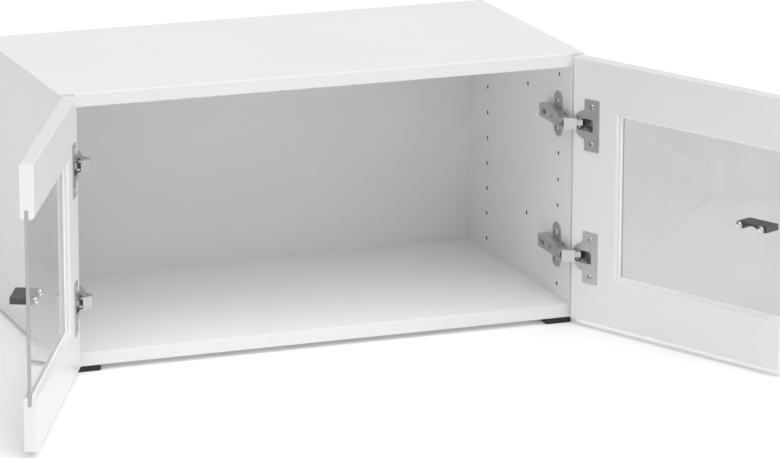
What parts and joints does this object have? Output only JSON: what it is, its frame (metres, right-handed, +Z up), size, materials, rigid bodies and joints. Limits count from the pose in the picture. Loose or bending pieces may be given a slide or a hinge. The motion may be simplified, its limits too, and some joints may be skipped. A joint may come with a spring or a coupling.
{
  "type": "two-door glass-front cabinet",
  "caption": "Low wide white cabinet with glass doors in three-sided frames on concealed cup hinges, dark bridge handles and low glides.",
  "frame": {"origin": "on the floor, at the middle of the footprint with both doors open", "axes": "+X along the width to the right, -Y is the front, +Z up"},
  "size_m": [0.909, 0.6212, 0.327],
  "materials": {
    "white_board": "white satin foil on board",
    "door_glass": "clear float glass, lightly tinted",
    "black_plastic": "black moulded plastic",
    "dowel_wood": "plain beech",
    "zinc_casting": "bare zinc casting",
    "clear_plastic": "translucent plastic",
    "handle_metal": "dark satin coated zinc",
    "chrome_screws": "polished chrome",
    "nickel_steel": "nickel-plated pressed steel"
  },
  "bodies": {
    "carcass": {"back_panel": "white_board", "back_panel_screws": "nickel_steel", "bottom_panel": "white_board", "cam_bolts": "nickel_steel", "cam_locks": "zinc_casting", "carcass_dowels": "dowel_wood", "glide_screws": "nickel_steel", "left_arm_pins": "nickel_steel", "left_front_glide": "black_plastic", "left_hinge_adjusters": "nickel_steel", "left_lower_hinge_arm": "nickel_steel", "left_lower_mounting_plate": "nickel_steel", "left_plate_screws": "nickel_steel", "left_rear_glide": "black_plastic", "left_side_panel": "white_board", "left_upper_hinge_arm": "nickel_steel", "left_upper_mounting_plate": "nickel_steel", "right_arm_pins": "nickel_steel", "right_front_glide": "black_plastic", "right_hinge_adjusters": "nickel_steel", "right_lower_hinge_arm": "nickel_steel", "right_lower_mounting_plate": "nickel_steel", "right_plate_screws": "nickel_steel", "right_rear_glide": "black_plastic", "right_side_panel": "white_board", "right_upper_hinge_arm": "nickel_steel", "right_upper_mounting_plate": "nickel_steel", "top_panel": "white_board"},
    "right_door": {"right_cup_pins": "nickel_steel", "right_cup_screws": "nickel_steel", "right_door_frame": "white_board", "right_door_glass": "door_glass", "right_handle": "handle_metal", "right_handle_screws": "chrome_screws", "right_handle_washers": "clear_plastic", "right_lower_hinge_cup": "nickel_steel", "right_upper_hinge_cup": "nickel_steel"},
    "left_door": {"left_cup_pins": "nickel_steel", "left_cup_screws": "nickel_steel", "left_door_frame": "white_board", "left_door_glass": "door_glass", "left_handle": "handle_metal", "left_handle_screws": "chrome_screws", "left_handle_washers": "clear_plastic", "left_lower_hinge_cup": "nickel_steel", "left_upper_hinge_cup": "nickel_steel"},
    "right_outer_links": {"right_lower_outer_link": "nickel_steel", "right_upper_outer_link": "nickel_steel"},
    "left_outer_links": {"left_lower_outer_link": "nickel_steel", "left_upper_outer_link": "nickel_steel"},
    "right_inner_links": {"right_lower_inner_link": "nickel_steel", "right_upper_inner_link": "nickel_steel"},
    "left_inner_links": {"left_lower_inner_link": "nickel_steel", "left_upper_inner_link": "nickel_steel"}
  },
  "joints": [
    {"name": "right_outer_link_pivot", "type": "hinge", "parent": "carcass", "child": "right_outer_links", "pos_m": [0.291, -0.01938, 0.167], "axis": [0, 0, 1], "range_deg": [0, 26.33]},
    {"name": "right_door_swing", "type": "hinge", "parent": "right_outer_links", "child": "right_door", "pos_m": [0.30892, -0.02826, 0.167], "axis": [0, 0, 1], "range_deg": [-141.32, 0]},
    {"name": "right_inner_link_pivot", "type": "hinge", "parent": "carcass", "child": "right_inner_links", "pos_m": [0.2951, -0.0216, 0.167], "axis": [0, 0, 1], "range_deg": [0, 13.74]},
    {"name": "left_outer_link_pivot", "type": "hinge", "parent": "carcass", "child": "left_outer_links", "pos_m": [-0.291, -0.01938, 0.167], "axis": [0, 0, -1], "range_deg": [0, 26.33]},
    {"name": "left_door_swing", "type": "hinge", "parent": "left_outer_links", "child": "left_door", "pos_m": [-0.30892, -0.02826, 0.167], "axis": [0, 0, -1], "range_deg": [-141.32, 0]},
    {"name": "left_inner_link_pivot", "type": "hinge", "parent": "carcass", "child": "left_inner_links", "pos_m": [-0.2951, -0.0216, 0.167], "axis": [0, 0, -1], "range_deg": [0, 13.74]}
  ],
  "couplings": [
    {"joint": "right_outer_link_pivot", "follows": "right_door_swing", "ratio": -0.18626},
    {"joint": "right_inner_link_pivot", "follows": "right_door_swing", "ratio": -0.097153},
    {"joint": "left_outer_link_pivot", "follows": "left_door_swing", "ratio": -0.18626},
    {"joint": "left_inner_link_pivot", "follows": "left_door_swing", "ratio": -0.097153}
  ]
}
